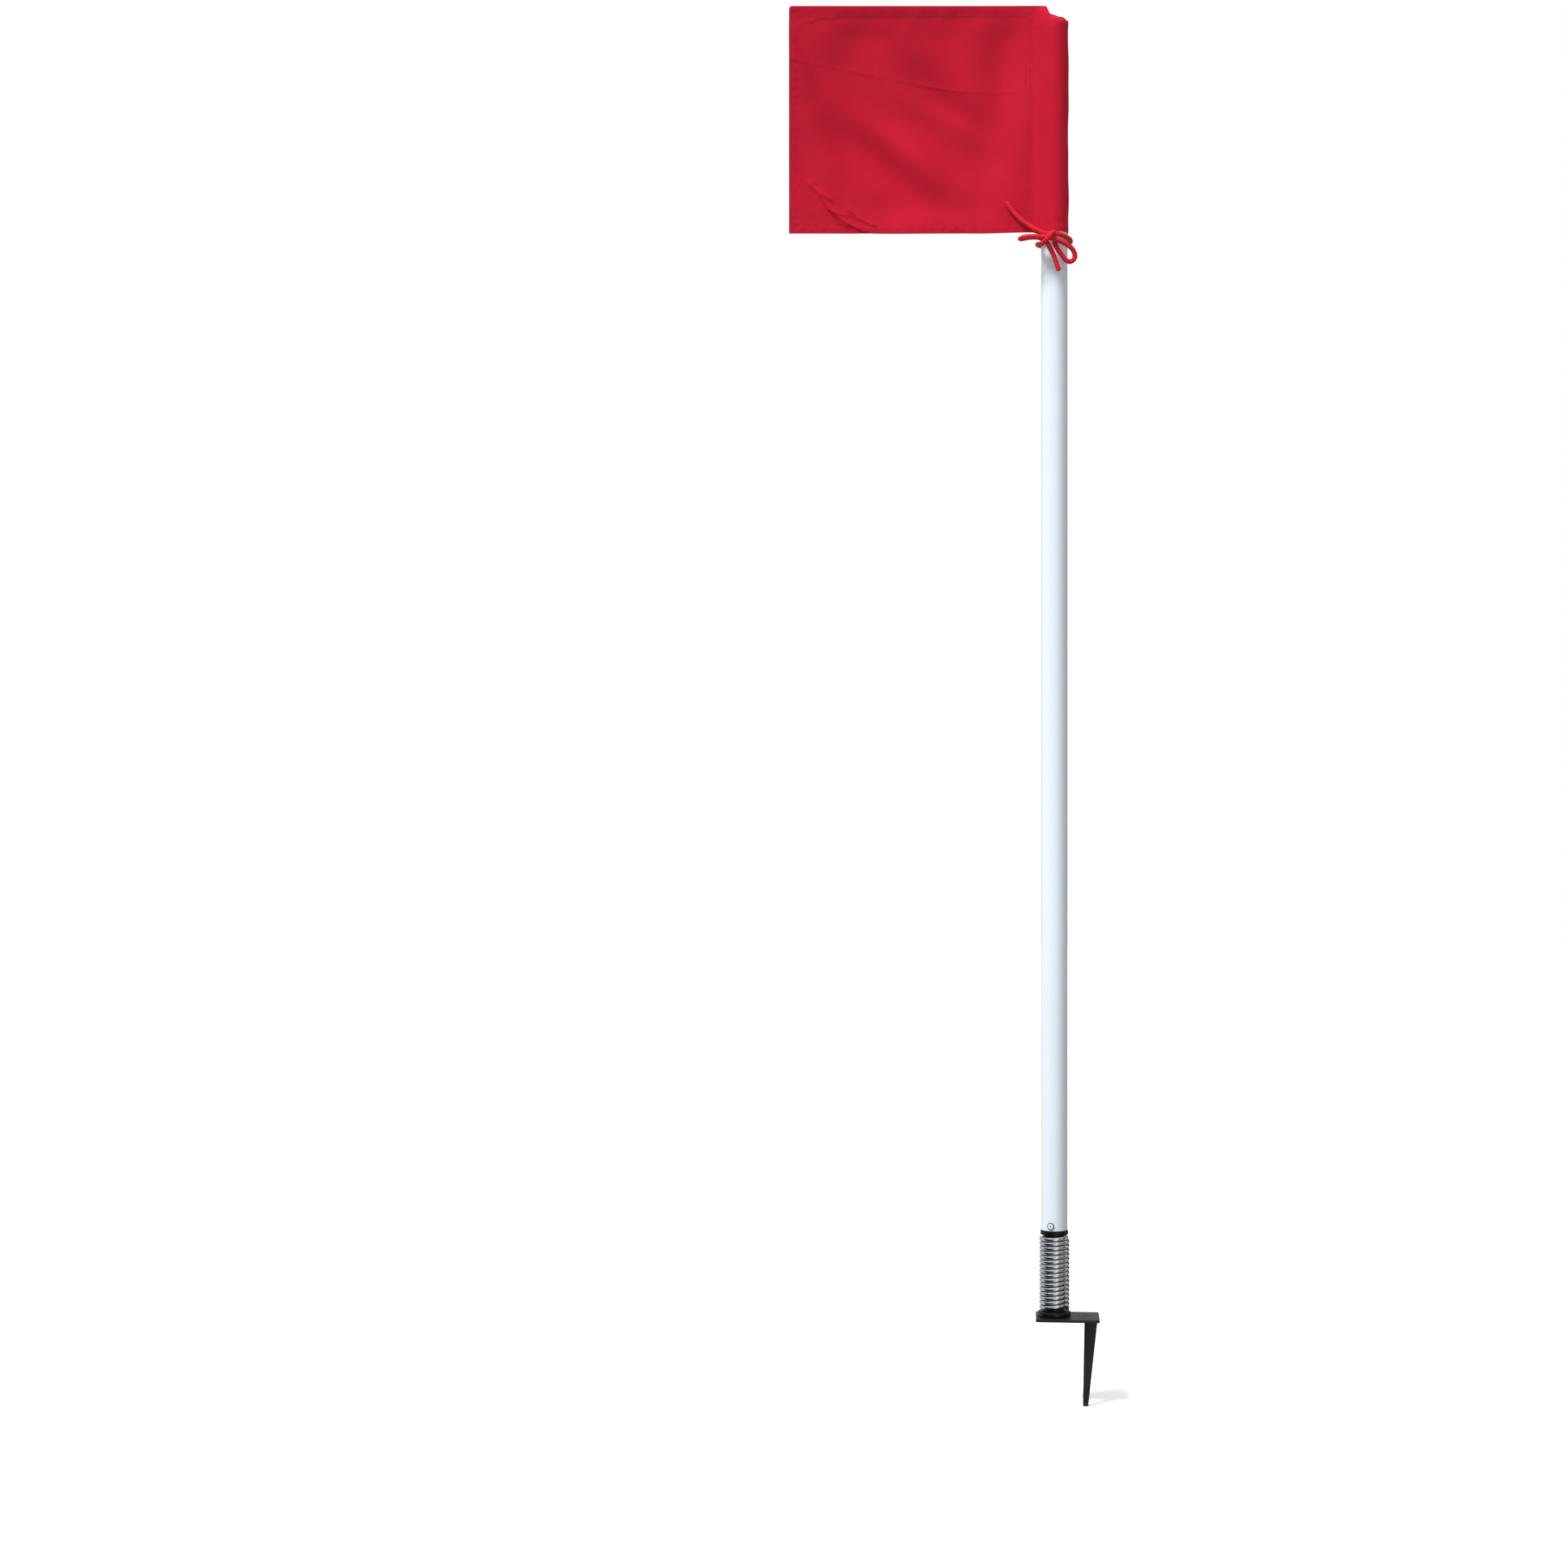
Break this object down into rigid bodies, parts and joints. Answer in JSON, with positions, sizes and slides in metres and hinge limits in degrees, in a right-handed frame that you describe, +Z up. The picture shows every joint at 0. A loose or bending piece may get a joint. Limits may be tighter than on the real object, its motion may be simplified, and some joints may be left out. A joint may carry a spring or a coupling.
{
  "type": "corner flag",
  "caption": "Corner flag for a sports field: sleeved cloth flag tied to a plastic pole that stands on a bending coil spring, with a foot plate and a ground spike.",
  "frame": {"origin": "on the pole's axis, at the underside of the foot plate where it rests on the turf", "axes": "+Z up along the pole, +X towards the end of the foot plate that carries the spike and away from the flag, -Y towards the viewer of the flag's face"},
  "size_m": [0.3563, 0.0684, 1.5994],
  "materials": {
    "black_steel": "black powder coat, satin",
    "black_plastic": "black moulded plastic, half gloss",
    "fastener": "zinc-plated",
    "spring_plating": "bright zinc plating on spring steel",
    "rivet_paint": "white lacquered blind rivet",
    "rivet_pin": "dark broken pin",
    "pole_plastic": "white extruded plastic, half gloss",
    "cap_plastic": "white moulded plastic",
    "flag_cloth": "thin woven nylon with a satin sheen",
    "cord": "braided polyester cord"
  },
  "bodies": {
    "foot": {"foot_plate": "black_steel", "spike": "black_steel", "weld_front": "black_steel", "weld_back": "black_steel", "lower_plug": "black_plastic", "foot_screw": "fastener", "foot_washer": "fastener", "foot_nut": "fastener"},
    "spring_coils": {"spring": "spring_plating"},
    "pole": {"upper_plug": "black_plastic", "rivet_body": "rivet_paint", "rivet_mandrel": "rivet_pin", "pole_tube": "pole_plastic", "pole_cap": "cap_plastic"},
    "flag": {"flag_panel": "flag_cloth", "flag_sleeve": "flag_cloth", "tie_cord": "cord"}
  },
  "joints": [
    {"name": "spring_lean_fore", "type": "hinge", "parent": "foot", "child": "spring_coils", "pos_m": [0, 0, 0.033], "axis": [1, 0, 0], "range_deg": [-80, 80], "stiffness_Nm_per_rad": 6, "deforming": ["spring"]},
    {"name": "spring_lean_side", "type": "hinge", "parent": "spring_coils", "child": "pole", "pos_m": [0, 0, 0.071], "axis": [0, 1, 0], "range_deg": [-80, 80], "stiffness_Nm_per_rad": 6, "deforming": ["spring"]},
    {"name": "flag_swivel", "type": "hinge", "parent": "pole", "child": "flag", "pos_m": [0, 0, 1.24], "axis": [0, 0, 1], "continuous": true}
  ]
}
